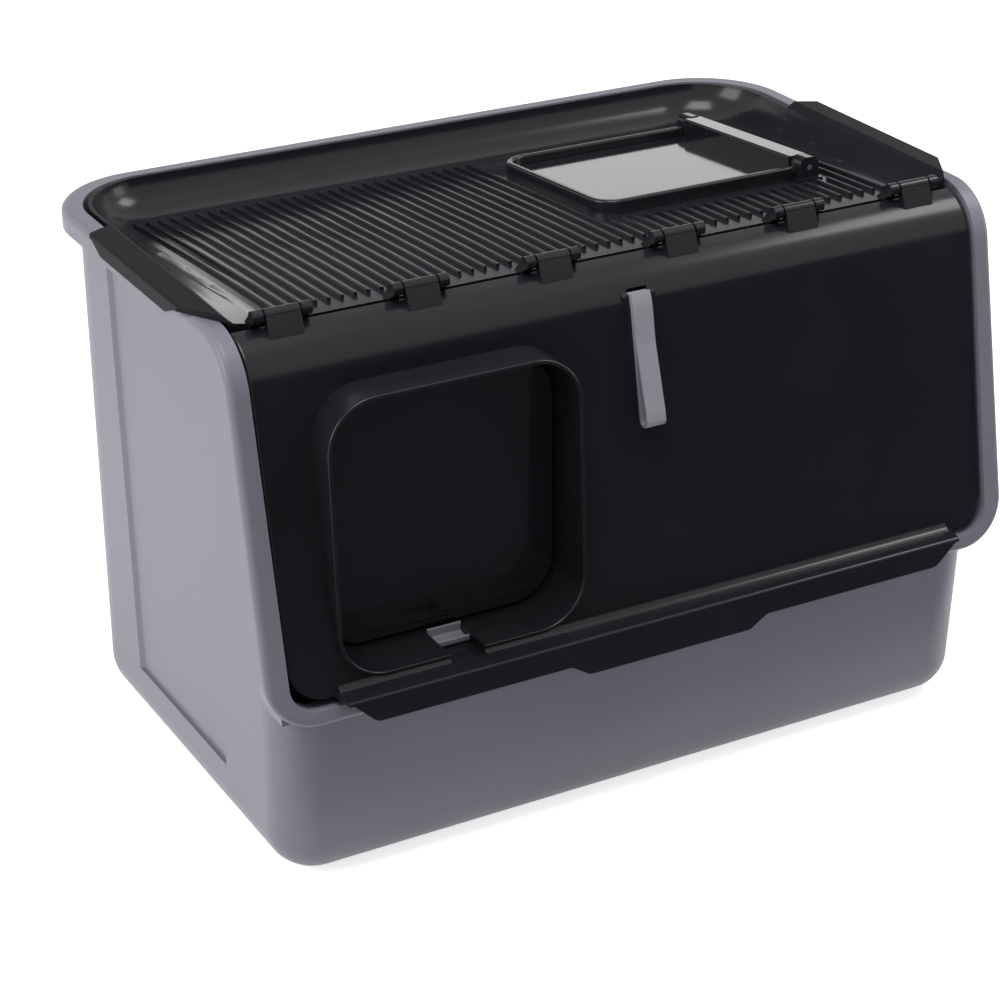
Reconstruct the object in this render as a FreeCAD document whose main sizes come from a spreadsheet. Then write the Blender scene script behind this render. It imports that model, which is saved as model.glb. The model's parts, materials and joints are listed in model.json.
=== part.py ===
import FreeCAD, Part

import math
import os
from types import SimpleNamespace

from FreeCAD import Placement, Rotation, Vector

# Covered litter box: an open-fronted tub, a lift-off top cover with a ribbed tray, a lift-up
# front cover with an entry flap, and a small hatch in the top cover.
# Millimetres, +Z up, front towards -Y, origin at the bottom centre of the overall box.

SIZES = {
    # Tub walls at their top, how much each comes in towards the base, and the corners
    "top_half_width": 285.4,
    "side_draft": 4.0,
    "top_front": 176.0,
    "front_draft": 8.0,
    "top_back": 189.0,
    "back_draft": 2.0,
    "front_corner": 34.0,
    "base_corner": 44.0,
    "top_corner": 64.0,
    "bottom_round": 30.0,
    "wall": 2.6,
    # Hand panels sunk into the side walls
    "hand_front": 71.0,
    "hand_back": 92.0,
    "hand_slope": 6.0,
    "hand_depth": 2.5,
    "hand_low": 48.0,
    # Rim round the opening: it runs level at the top, bends, and leans down the front
    "rim_top": 393.0,
    "rim_overhang": 11.0,
    "rim_front_overhang": 13.0,
    "rim_back_overhang": 11.0,
    "rim_corner": 70.0,
    "rim_depth": 15.0,
    "rim_round": 5.0,
    "rim_lip": 3.0,
    "rim_bend": 42.0,
    "lean_angle": 10.3,
    "front_rim_low": 132.0,
    "front_rim_height": 12.0,
    "rim_low_corner": 36.0,
    "rim_inner_corner": 20.0,
    "lip_start": 53.0,
    # Where the rim is parted into simple bars: in from the mouth, up from the front rim, and at the top
    "part_side": 24.0,
    "part_rise": 24.0,
    "part_top": 60.0,
    # Top cover tray: its floor falls to the back on a wide arc
    "cover_gap": 1.5,
    "cover_wall": 2.5,
    "cover_sheet": 3.0,
    "cover_setback": 29.57,
    "tray_fillet": 28.0,
    "tray_sweep": 34.0,
    "tray_sweep_start": 0.4,
    "floor_back": 150.0,
    "floor_back_drop": 24.9,
    "floor_middle": 17.0,
    "floor_middle_drop": 13.0,
    "floor_front_drop": 4.4,
    "rib_count": 51,
    "rib_side": 36.55,
    "rib_width": 3.0,
    "rib_height": 2.5,
    "rib_round": 1.2,
    "rib_front": 94.0,
    "rib_back": 150.0,
    "rib_margin": 4.0,
    # Side grips that hang the top cover on the rim
    "grip_rise": 5.0,
    "grip_gap": 1.0,
    "grip_width": 18.0,
    "grip_front": 74.0,
    "grip_back": 77.0,
    "grip_root_back": 86.0,
    "grip_sheet": 2.6,
    "grip_drop": 12.0,
    "grip_fall": 0.8,
    "grip_round": 2.0,
    "grip_end": 18.0,
    "grip_corner": 12.0,
    "seat_gap": 0.3,
    # Front hinge: stub pins in lugs on the top cover, clips on the front cover
    "hinge_reach": 6.0,
    "hinge_rise": 3.6,
    "hinge_sets": 6,
    "hinge_side": 32.8,
    "lug_offset": 17.0,
    "lug_width": 7.0,
    "lug_root": 8.0,
    "knuckle_radius": 4.5,
    "pin_radius": 2.2,
    "running_gap": 0.08,
    "clip_width": 24.0,
    "clip_reach": 9.0,
    "clip_sheet": 4.0,
    # Front cover panel, ledge and pull flange
    "panel_side_gap": 1.8,
    "panel_edge_gap": 4.5,
    "panel_recess": 3.0,
    "panel_sheet": 3.0,
    "panel_corner": 26.0,
    "panel_round": 2.0,
    "ledge_rise": 7.8,
    "ledge_fillet": 8.0,
    "ledge_inset": 30.0,
    "flange_gap": 10.2,
    "flange_drop": 11.0,
    "flange_inset": 32.9,
    "flange_slope": 19.6,
    "flange_corner": 10.0,
    "flange_round": 2.5,
    "tab_drop": 9.0,
    "tab_half": 79.0,
    "tab_slope": 14.0,
    "stop_width": 12.0,
    "stop_depth": 7.0,
    # Entry tunnel, its collar and its flap
    "entry_side": 35.0,
    "entry_width": 186.5,
    "entry_rise": 3.2,
    "entry_drop": 41.0,
    "entry_corner": 36.0,
    "entry_wall": 3.0,
    "entry_reach": 21.0,
    "collar_lean": 2.6,
    "collar_proud": 1.8,
    "collar_round": 1.2,
    "flap_inset": 9.0,
    "flap_gap": 2.6,
    "flap_sheet": 3.0,
    "flap_barrel": 4.0,
    "flap_barrel_inset": 30.0,
    "flap_corner": 38.0,
    "flap_frame": 9.0,
    "flap_frame_rise": 1.0,
    "axle_radius": 1.5,
    "axle_drop": 6.5,
    "axle_inset": 13.0,
    # Flap latch in its trough
    "trough_width": 26.0,
    "trough_drop": 4.2,
    "trough_wall": 2.5,
    "latch_gap": 0.4,
    "latch_clear": 5.0,
    "latch_reach": 15.0,
    "latch_sheet": 2.0,
    "latch_rise": 9.0,
    "latch_lip": 5.0,
    "latch_stem_inset": 2.0,
    "latch_travel": 4.0,
    "latch_hook": 2.5,
    # Pull strap and the rod that holds it
    "strap_x": 4.3,
    "strap_width": 15.0,
    "strap_sheet": 2.0,
    "strap_angle": 25.8,
    "strap_drop": 79.8,
    "strap_fold": 10.0,
    "strap_fold_length": 58.0,
    "strap_gap": 0.4,
    "strap_slot_low": 4.0,
    "strap_slot_high": 5.6,
    "strap_rod_depth": 5.0,
    "strap_rod_radius": 1.5,
    "strap_rod_boss": 3.4,
    "strap_boss_width": 5.0,
    # Hatch in the tray, on a flat pad tilted with the floor
    "hatch_side": 60.8,
    "hatch_width": 177.5,
    "hatch_front": -38.0,
    "hatch_length": 158.0,
    "hatch_corner": 20.0,
    "curb_wall": 5.5,
    "curb_height": 10.5,
    "curb_round": 2.0,
    "curb_ledge": 6.0,
    "pad_depth": 6.0,
    "door_sheet": 3.0,
    "door_gap": 1.5,
    "door_lift": 0.8,
    "spine_width": 16.0,
    "spine_height": 16.0,
    "spine_round": 1.5,
    "spine_low_round": 6.0,
    "spine_axis_in": 6.5,
    "spine_axis_up": 10.0,
    "post_width": 16.0,
    "post_depth": 13.0,
    "post_height": 17.5,
    "post_round": 6.0,
    "post_foot": 2.0,
    "post_foot_height": 2.0,
    "post_gap": 0.5,
    "post_pocket": 0.5,
    "hatch_pin_radius": 2.0,
}

doc = FreeCAD.newDocument("LitterBox")
sheet = doc.addObject("Spreadsheet::Sheet", "Sizes")
for row, (alias, value) in enumerate(SIZES.items(), start=1):
    sheet.set("A%d" % row, alias.replace("_", " "))
    sheet.set("B%d" % row, str(value))
    sheet.setAlias("B%d" % row, alias)
doc.recompute()
mm = SimpleNamespace(**{alias: float(sheet.get(alias)) for alias in SIZES})

AXES = {"X": Vector(1, 0, 0), "Y": Vector(0, 1, 0), "Z": Vector(0, 0, 1)}
# Each drawing plane turns its two coordinates and a level into a point of the frame
PLANES = {
    "XY": lambda a, b, level: Vector(a, b, level),
    "YZ": lambda a, b, level: Vector(level, a, b),
    "XZ": lambda a, b, level: Vector(a, level, b),
}
NORMALS = {"XY": "Z", "YZ": "X", "XZ": "Y"}
SIDES = {"left": -1, "right": 1}
# Cutting tools reach this far past what they cut
PAST = 20.0
FAR = mm.top_half_width + mm.rim_overhang + 2 * PAST

# Levels and half widths that follow from the sheet
LEAN = math.radians(mm.lean_angle)
INNER_HALF = mm.top_half_width - mm.wall
RIM_HALF = mm.top_half_width + mm.rim_overhang
RIM_BACK = mm.top_back + mm.rim_back_overhang
FRONT_RIM_HIGH = mm.front_rim_low + mm.front_rim_height
FRONT_REACH = mm.top_front + mm.rim_front_overhang - (mm.rim_top - mm.front_rim_low) * math.tan(LEAN)
COVER_FRONT = FRONT_REACH - mm.cover_setback
COVER_HALF = INNER_HALF - mm.hand_depth - mm.cover_gap
COVER_BACK = mm.top_back - mm.wall - mm.cover_gap
COVER_CORNER = mm.top_corner - mm.wall - mm.cover_gap
TRAY_HALF = COVER_HALF - mm.cover_wall
SEAT = mm.rim_top + mm.seat_gap
GRIP_TOP = mm.rim_top + mm.grip_rise
GRIP_HALF = RIM_HALF + mm.grip_gap + mm.grip_sheet
HINGE_Y = -COVER_FRONT - mm.hinge_reach
HINGE_Z = mm.rim_top + mm.hinge_rise


def spread(count, half):
    """Evenly spaced places from -half to half."""
    return [half * (2 * number / (count - 1) - 1) for number in range(int(count))]


HINGE_PLACES = spread(mm.hinge_sets, COVER_HALF - mm.hinge_side)


def outline(plane, corners, level=0.0):
    """Closed wire through (a, b, radius) corners, each rounded by a tangent arc."""
    place = PLANES[plane]
    points = [place(a, b, level) for a, b, _ in corners]
    joins = []
    for index, (_, _, radius) in enumerate(corners):
        corner = points[index]
        before = (points[index - 1] - corner).normalize()
        after = (points[(index + 1) % len(points)] - corner).normalize()
        if radius <= 0:
            joins.append((corner, corner, corner))
            continue
        half_angle = before.getAngle(after) / 2
        reach = radius / math.tan(half_angle)
        inward = (before + after).normalize()
        middle = corner + inward * (radius / math.sin(half_angle) - radius)
        joins.append((corner + before * reach, middle, corner + after * reach))
    edges = []
    for index, (start, middle, end) in enumerate(joins):
        if (end - start).Length > 1e-6:
            edges.append(Part.Arc(start, middle, end).toShape())
        next_start = joins[(index + 1) % len(joins)][0]
        if (next_start - end).Length > 1e-6:
            edges.append(Part.LineSegment(end, next_start).toShape())
    return Part.Wire(edges)


def drawn(name, shape):
    """A drawn profile or shape whose sizes come from the sheet."""
    feature = doc.addObject("Part::Feature", name)
    feature.Shape = shape
    return feature


def extrude(name, base, axis, length):
    """Solid drawn out from a profile; length is an expression on the sheet."""
    solid = doc.addObject("Part::Extrusion", name)
    solid.Base = base
    solid.DirMode = "Custom"
    solid.Dir = AXES[axis]
    solid.setExpression("LengthFwd", length)
    solid.Solid = True
    return solid


def prism(name, plane, corners, start, length):
    """Rounded outline drawn out along the normal of its plane from start."""
    face = drawn(name + "_profile", Part.Face(outline(plane, corners, start)))
    return extrude(name, face, NORMALS[plane], length)


def loft(name, sections):
    """Ruled solid through plan outlines given as (corners, height)."""
    solid = doc.addObject("Part::Loft", name)
    wires = []
    for index, (corners, height) in enumerate(sections):
        wires.append(drawn("%s_section%d" % (name, index), outline("XY", corners, height)))
    solid.Sections = wires
    solid.Solid = True
    solid.Ruled = True
    return solid


def box(name, low, lengths):
    """Box at a low corner; its lengths are expressions on the sheet."""
    solid = doc.addObject("Part::Box", name)
    solid.Placement = Placement(Vector(*low), Rotation())
    for side, expression in zip(("Length", "Width", "Height"), lengths):
        solid.setExpression(side, expression)
    return solid


def rod(name, axis, radius, length, start):
    """Cylinder along an axis from a start point; radius and length are expressions on the sheet."""
    solid = doc.addObject("Part::Cylinder", name)
    solid.Placement = Placement(Vector(*start), Rotation(AXES["Z"], AXES[axis]))
    solid.setExpression("Radius", radius)
    solid.setExpression("Height", length)
    return solid


def cut(name, base, tool):
    solid = doc.addObject("Part::Cut", name)
    solid.Base = base
    solid.Tool = tool
    return solid


def fuse(name, shapes):
    solid = doc.addObject("Part::MultiFuse", name)
    solid.Shapes = shapes
    solid.Refine = True
    return solid


def common(name, shapes):
    solid = doc.addObject("Part::MultiCommon", name)
    solid.Shapes = shapes
    return solid


def group(name, shapes):
    solids = doc.addObject("Part::Compound", name)
    solids.Links = shapes
    return solids


def copies(name, item, places):
    """The same solid repeated along X at the given places."""
    doc.recompute()
    return drawn(name, Part.makeCompound([item.Shape.translated(Vector(x, 0, 0)) for x in places]))


def middle_of(edge):
    return edge.valueAt((edge.FirstParameter + edge.LastParameter) / 2)


def fillet(name, base, radius, wanted):
    """Round the edges of base whose middle point is wanted."""
    doc.recompute()
    edges = []
    for number, edge in enumerate(base.Shape.Edges, start=1):
        if wanted(middle_of(edge)):
            edges.append((number, radius, radius))
    solid = doc.addObject("Part::Fillet", name)
    solid.Base = base
    solid.Edges = edges
    return solid


def near(value, target, tolerance=0.01):
    return abs(value - target) < tolerance


def blend(low, high, share):
    return low + (high - low) * share


def half_width_at(height):
    return mm.top_half_width - mm.side_draft * (1 - height / mm.rim_top)


def plan_section(height, inset, open_front=None):
    """Plan outline of the tub wall at a height, moved in by inset."""
    share = height / mm.rim_top
    half = half_width_at(height) - inset
    back = mm.top_back - mm.back_draft * (1 - share) - inset
    rear = blend(mm.base_corner, mm.top_corner, share) - inset
    if open_front is None:
        front = mm.top_front - mm.front_draft * (1 - height / mm.front_rim_low) - inset
        corner = mm.front_corner - inset
    else:
        front = open_front
        corner = 0.0
    return [(half, -front, corner), (half, back, rear), (-half, back, rear), (-half, -front, corner)]


def bend_vertex(depth):
    """Where the level top and the leaning front of the rim face would meet, at a depth behind it."""
    return -FRONT_REACH + depth * (1 - math.sin(LEAN)) / math.cos(LEAN), mm.rim_top - depth


def face_y(height, depth=0.0):
    """Y of the leaning front at a height and at a depth behind the rim face."""
    vertex_y, vertex_z = bend_vertex(depth)
    return vertex_y - (vertex_z - height) * math.tan(LEAN)


# Centre of the bend in the rim face
BEND_Y = -FRONT_REACH + mm.rim_bend * math.tan((math.pi / 2 - LEAN) / 2)
BEND_Z = mm.rim_top - mm.rim_bend


def bend_point(depth, angle):
    """Y and Z of a point on the bend, at a depth behind the rim face; angle counts up from level."""
    radius = mm.rim_bend - depth
    return BEND_Y - radius * math.cos(angle), BEND_Z + radius * math.sin(angle)


def on_face(point, depth=0.0):
    """True for a point at a depth behind the rim face."""
    if point.y > BEND_Y:
        return near(point.z, mm.rim_top - depth)
    if point.z > bend_point(depth, LEAN)[1]:
        return near(math.hypot(point.y - BEND_Y, point.z - BEND_Z), mm.rim_bend - depth)
    return near(point.y, face_y(point.z, depth))


def behind_face(name, depth):
    """Everything behind the rim face, from a depth on."""
    vertex_y, vertex_z = bend_vertex(depth)
    corners = [
        (FAR, vertex_z, 0.0),
        (vertex_y, vertex_z, mm.rim_bend - depth),
        (face_y(-PAST, depth), -PAST, 0.0),
        (FAR, -PAST, 0.0),
    ]
    return prism(name, "YZ", corners, -FAR, "%g" % (2 * FAR))


def rim_block(name, inset):
    """Outer block of the rim, moved in by inset: its plan outline and its front outline."""
    half = RIM_HALF - inset
    corner = mm.rim_corner - inset
    low_corner = mm.rim_low_corner - inset
    back = RIM_BACK - inset
    low = mm.front_rim_low + inset
    high = mm.rim_top + PAST
    plan = [(half, -FAR, 0.0), (half, back, corner), (-half, back, corner), (-half, -FAR, 0.0)]
    front = [(half, high, 0.0), (half, low, low_corner), (-half, low, low_corner), (-half, high, 0.0)]
    return common(name, [
        prism(name + "_plan", "XY", plan, 0.0, "Sizes.rim_top + %g" % PAST),
        prism(name + "_front", "XZ", front, -FAR, "%g" % (2 * FAR)),
    ])


def on_rim_edge(point):
    """True on the outer edge of the rim face."""
    crosses = abs(point.x) < 1 and not near(point.y, RIM_BACK) and not near(point.z, mm.front_rim_low)
    return on_face(point) and not crosses


def hand_panel(name, side, inset):
    """Sloped block that sinks the hand panel of one side wall."""
    sections = []
    for height in (mm.hand_low, mm.rim_top - mm.rim_depth + 1):
        wall = half_width_at(height) - inset
        floor = wall - mm.hand_depth
        corners = [
            (side * floor, -mm.hand_front + mm.hand_slope, 0.0),
            (side * floor, mm.hand_back - mm.hand_slope, 0.0),
            (side * (wall + 1), mm.hand_back, 0.0),
            (side * (wall + 1), -mm.hand_front, 0.0),
        ]
        sections.append((corners, height))
    return loft(name, sections)


def hand_panels(name, inset):
    return group(name, [hand_panel("%s_%s" % (name, word), side, inset) for word, side in SIDES.items()])


def part_rim(rim):
    """Simple bars of the rim round the front mouth, and what is left of the rim behind them."""
    side_x = half_width_at(FRONT_RIM_HIGH) - mm.wall - mm.part_side
    rise_z = FRONT_RIM_HIGH + mm.part_rise
    depth = "%g" % (2 * FAR)
    corner = "%g" % (FAR - side_x)
    top_depth = "%g" % (FAR - mm.part_top)
    zones = {
        "rim_front": box("zone_front", (-side_x, -FAR, 0), ("%g" % (2 * side_x), depth, "%g" % rise_z)),
        "rim_corner_left": box("zone_corner_left", (-FAR, -FAR, 0), (corner, depth, "%g" % rise_z)),
        "rim_corner_right": box("zone_corner_right", (side_x, -FAR, 0), (corner, depth, "%g" % rise_z)),
        "rim_left": box("zone_left", (-FAR, -FAR, rise_z), ("%g" % FAR, top_depth, depth)),
        "rim_right": box("zone_right", (0, -FAR, rise_z), ("%g" % FAR, top_depth, depth)),
    }
    bars = {node: common(node, [rim, zone]) for node, zone in zones.items()}
    return bars, cut("rim_behind", rim, group("rim_zones", list(zones.values())))


def make_tub():
    """Tub moulded in one with its rim, open at the front above the front rim; the bars are parted."""
    join = mm.front_rim_low
    lower = loft("tub_lower", [(plan_section(0, 0), 0), (plan_section(join, 0), join)])
    lower_round = fillet("tub_lower_round", lower, mm.bottom_round, lambda point: near(point.z, 0))
    upper_sections = [(plan_section(level, 0, FAR), level) for level in (join, mm.rim_top)]
    upper_loft = loft("tub_upper_loft", upper_sections)
    upper = common("tub_upper", [upper_loft, behind_face("rim_back_side", mm.rim_depth)])
    walls = cut("tub_walls", fuse("tub_walls_full", [lower_round, upper]), hand_panels("hand_out", 0))

    block = common("rim_full", [rim_block("rim_outer", 0), behind_face("rim_face", 0)])
    ring = cut("rim_slab", block, behind_face("rim_slab_back", mm.rim_depth))
    ring_round = fillet("rim_rounded", ring, mm.rim_round, on_rim_edge)
    mouth_plan = plan_section(mm.rim_top, mm.wall, FAR)
    mouth_low = half_width_at(FRONT_RIM_HIGH) - mm.wall
    mouth_front = [
        (INNER_HALF, mm.rim_top, 0.0),
        (mouth_low, FRONT_RIM_HIGH, mm.rim_inner_corner),
        (-mouth_low, FRONT_RIM_HIGH, mm.rim_inner_corner),
        (-INNER_HALF, mm.rim_top, 0.0),
        (-INNER_HALF, mm.rim_top + PAST, 0.0),
        (INNER_HALF, mm.rim_top + PAST, 0.0),
    ]
    mouth = common("mouth", [
        prism("mouth_plan", "XY", mouth_plan, 0.0, "Sizes.rim_top + %g" % PAST),
        prism("mouth_front", "XZ", mouth_front, -FAR, "%g" % (2 * FAR)),
    ])
    rim = cut("rim", ring_round, mouth)

    floor_join = join + mm.wall
    hollow_low = loft("hollow_low", [
        (plan_section(mm.wall, mm.wall), mm.wall),
        (plan_section(floor_join, mm.wall), floor_join),
    ])
    hollow_low_round = fillet("hollow_low_round", hollow_low, mm.bottom_round - mm.wall,
                              lambda point: near(point.z, mm.wall))
    hollow_front = mm.top_front - mm.wall
    hollow_sections = [(plan_section(level, mm.wall, hollow_front), level)
                       for level in (floor_join, mm.rim_top + PAST)]
    hollow = fuse("hollow", [hollow_low_round, loft("hollow_high", hollow_sections)])
    hollow_sunk = cut("hollow_sunk", hollow, hand_panels("hand_in", mm.wall))

    # The rim is a thin lip: the space under it is open towards the walls
    lip_shell = cut("lip_shell", behind_face("lip_face", mm.rim_lip),
                    behind_face("lip_back", mm.rim_depth + 1))
    lip_zone = box("lip_zone", (-FAR, -FAR, mm.front_rim_low + mm.lip_start), ["%g" % (2 * FAR)] * 3)
    lip_solid = common("lip_solid", [lip_shell, rim_block("lip_block", mm.rim_lip), lip_zone])
    lip_space = cut("lip_space", lip_solid, upper_loft)
    rim_open = cut("rim_open", cut("rim_trimmed", rim, hollow), lip_space)
    bars, rim_behind = part_rim(rim_open)
    return {"tub": fuse("tub", [cut("tub_shell", walls, hollow_sunk), rim_behind]), **bars}


def floor_circle():
    """Circle of the tray floor through its back, middle and front points."""
    points = [
        Vector(0, mm.floor_back, mm.rim_top - mm.floor_back_drop),
        Vector(0, mm.floor_middle, mm.rim_top - mm.floor_middle_drop),
        Vector(0, -COVER_FRONT, mm.rim_top - mm.floor_front_drop),
    ]
    return Part.Arc(*points).toShape().Curve


FLOOR = floor_circle()
# A hollow floor has its centre above it, and a domed one below
HOLLOW = math.copysign(1, FLOOR.Center.z - mm.rim_top)


def floor_z(y, rise=0.0):
    """Height of the tray floor, or of a level above it."""
    radius = FLOOR.Radius - HOLLOW * rise
    return FLOOR.Center.z - HOLLOW * math.sqrt(radius ** 2 - (y - FLOOR.Center.y) ** 2)


def on_floor(point, rise=0.0):
    return near(point.z, floor_z(point.y, rise))


def floor_block(name, front, back, low, high, left, width):
    """Block between two levels above the tray floor; width is an expression on the sheet."""
    lower = [Vector(left, y, floor_z(y, low)) for y in (front, (front + back) / 2, back)]
    upper = [Vector(left, y, floor_z(y, high)) for y in (back, (front + back) / 2, front)]
    edges = [
        Part.Arc(*lower).toShape(),
        Part.LineSegment(lower[2], upper[0]).toShape(),
        Part.Arc(*upper).toShape(),
        Part.LineSegment(upper[2], lower[0]).toShape(),
    ]
    face = drawn(name + "_profile", Part.Face(Part.Wire(edges)))
    return extrude(name, face, "X", width)


def cover_plan(inset, front):
    half = COVER_HALF - inset
    back = COVER_BACK - inset
    corner = COVER_CORNER - inset
    return [(half, -front, 0.0), (half, back, corner), (-half, back, corner), (-half, -front, 0.0)]


# The hatch pad is a chord of the floor arc; its local frame keeps X and tilts Y along the chord
HATCH_BACK = mm.hatch_front + mm.hatch_length
HATCH_RIGHT = TRAY_HALF - mm.hatch_side
HATCH_LEFT = HATCH_RIGHT - mm.hatch_width
HATCH_SLOPE = (floor_z(HATCH_BACK) - floor_z(mm.hatch_front)) / mm.hatch_length
HATCH_TILT = math.atan(HATCH_SLOPE)
HATCH_FRAME = Placement(Vector(0, 0, floor_z(mm.hatch_front) - HATCH_SLOPE * mm.hatch_front),
                        Rotation(AXES["X"], math.degrees(HATCH_TILT)))
HATCH_AXIS_X = HATCH_RIGHT - mm.spine_axis_in
DOOR_FRONT = mm.hatch_front + mm.curb_wall + mm.door_gap
DOOR_BACK = HATCH_BACK - mm.curb_wall - mm.door_gap
POST_FRONTS = {"front": DOOR_FRONT - mm.post_gap - mm.post_depth, "rear": DOOR_BACK + mm.post_gap}


def tilted(item):
    """Move a solid drawn in the local frame of the hatch to its place."""
    item.Placement = HATCH_FRAME
    return item


def hatch_outline(inset, right):
    """Plan outline of the hatch, moved in by inset on three sides, with its right side given."""
    left = HATCH_LEFT + inset
    front = mm.hatch_front + inset
    back = HATCH_BACK - inset
    corner = mm.hatch_corner - inset
    return [(left, front, corner), (right, front, 0.0), (right, back, 0.0), (left, back, corner)]


def hatch_zone(name, low, height):
    """Plan of the hatch pad with the seats of both posts, drawn out from a level."""
    margin = mm.post_foot + mm.post_pocket
    half = mm.post_width / 2 + margin
    zones = [prism(name + "_door", "XY", hatch_outline(0, HATCH_RIGHT), low, height)]
    for word, front in POST_FRONTS.items():
        back = front + mm.post_depth + margin
        seat = [
            (HATCH_AXIS_X - half, front - margin, 0.0),
            (HATCH_AXIS_X + half, front - margin, 0.0),
            (HATCH_AXIS_X + half, back, 0.0),
            (HATCH_AXIS_X - half, back, 0.0),
        ]
        zones.append(prism("%s_%s" % (name, word), "XY", seat, low, height))
    return tilted(fuse(name, zones))


def hatch_curb():
    """Low wall on three sides of the hatch."""
    right = HATCH_AXIS_X - mm.post_width / 2 - mm.post_foot - mm.post_gap
    outer = prism("curb_outer", "XY", hatch_outline(0, right), -mm.pad_depth / 2,
                  "Sizes.pad_depth / 2 + Sizes.curb_height")
    inner = prism("curb_inner", "XY", hatch_outline(mm.curb_wall, right + PAST), -mm.pad_depth,
                  "2 * Sizes.pad_depth + Sizes.curb_height")
    rounded = fillet("curb_rounded", cut("curb_square", outer, inner), mm.curb_round,
                     lambda point: near(point.z, mm.curb_height) and point.x < right - 1)
    return tilted(group("hatch_curb", [rounded]))


def grip(word, side):
    """Side grip: a plate over the rim that narrows to the front, and a down-turned flange."""
    root = mm.rim_top - mm.cover_sheet
    edge = GRIP_TOP - mm.grip_fall
    flange_top = edge - mm.grip_round
    profile = [
        (side * TRAY_HALF, root, 0.0),
        (side * COVER_HALF, root, 0.0),
        (side * COVER_HALF, SEAT, 0.0),
        (side * GRIP_HALF, SEAT, 0.0),
        (side * GRIP_HALF, edge, mm.grip_round),
        (side * (GRIP_HALF - mm.grip_width), GRIP_TOP, 0.8),
        (side * TRAY_HALF, mm.rim_top, 0.0),
    ]
    plan = [
        (side * (TRAY_HALF - 1), -COVER_FRONT, 0.0),
        (side * (COVER_HALF + mm.seat_gap), -COVER_FRONT, 0.0),
        (side * (GRIP_HALF + 1), -mm.grip_front, 0.0),
        (side * (GRIP_HALF + 1), mm.grip_back, 0.0),
        (side * COVER_HALF, mm.grip_root_back, 0.0),
        (side * (TRAY_HALF - 1), mm.grip_root_back, 0.0),
    ]
    low = GRIP_TOP - mm.grip_drop
    flange = [
        (-mm.grip_front, flange_top, 0.0),
        (-mm.grip_front + mm.grip_end, low, mm.grip_corner),
        (mm.grip_back - mm.grip_end, low, mm.grip_corner),
        (mm.grip_back, flange_top, 0.0),
    ]
    plate = common("grip_plate_" + word, [
        prism("grip_profile_" + word, "XZ", profile, -COVER_FRONT, "%g + Sizes.grip_root_back" % COVER_FRONT),
        prism("grip_plan_" + word, "XY", plan, root - 1, "Sizes.cover_sheet + Sizes.grip_rise + 2"),
    ])
    flange_left = min(side * GRIP_HALF, side * (GRIP_HALF - mm.grip_sheet))
    return [plate, prism("grip_flange_" + word, "YZ", flange, flange_left, "Sizes.grip_sheet")]


def rib_places():
    """Places of the long ribs and of the short ones that end in front of the hatch."""
    places = spread(mm.rib_count, TRAY_HALF - mm.rib_side)
    low = HATCH_LEFT - mm.rib_width
    high = HATCH_AXIS_X + mm.post_width / 2 + mm.post_foot + mm.post_pocket + mm.rib_width / 2
    short = [x for x in places if low < x < high]
    return [x for x in places if x not in short], short


def rib(name, back):
    """One rounded rib, swept along the arc of the tray floor."""
    half = mm.rib_width / 2
    low = floor_z(FLOOR.Center.y)
    corners = [
        (-half, low - mm.cover_sheet / 3, 0.0),
        (half, low - mm.cover_sheet / 3, 0.0),
        (half, low + mm.rib_height, mm.rib_round),
        (-half, low + mm.rib_height, mm.rib_round),
    ]
    swept = doc.addObject("Part::Revolution", name)
    swept.Source = drawn(name + "_profile", Part.Face(outline("XZ", corners, FLOOR.Center.y)))
    swept.Axis = AXES["X"]
    swept.Base = FLOOR.Center
    ends = (-mm.rib_front, back)
    turns = sorted(HOLLOW * math.degrees(math.asin((y - FLOOR.Center.y) / FLOOR.Radius)) for y in ends)
    swept.Angle = turns[1] - turns[0]
    swept.Solid = True
    swept.Placement = Placement(Vector(), Rotation(AXES["X"], turns[0]), FLOOR.Center)
    return swept


def make_hinge_pins():
    start = (-mm.lug_offset - mm.lug_width / 2, HINGE_Y, HINGE_Z)
    pin = rod("hinge_pin", "X", "Sizes.pin_radius", "2 * Sizes.lug_offset + Sizes.lug_width", start)
    return copies("front_hinge_pins", pin, HINGE_PLACES)


def hinge_lugs():
    """Two lugs for each stub pin, joined to the front edge of the tray."""
    root = -COVER_FRONT + mm.lug_root
    web = [
        (HINGE_Y, HINGE_Z + mm.knuckle_radius, 0.0),
        (root, floor_z(root) - 0.5, 0.0),
        (-COVER_FRONT, floor_z(-COVER_FRONT) - mm.cover_sheet + 0.5, 0.0),
        (HINGE_Y, HINGE_Z - mm.knuckle_radius, 0.0),
    ]
    left = -mm.lug_width / 2
    lug = fuse("hinge_lug", [
        prism("lug_web", "YZ", web, left, "Sizes.lug_width"),
        rod("lug_barrel", "X", "Sizes.knuckle_radius", "Sizes.lug_width", (left, HINGE_Y, HINGE_Z)),
    ])
    places = [x + side * mm.lug_offset for x in HINGE_PLACES for side in SIDES.values()]
    return copies("hinge_lugs", lug, places)


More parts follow.
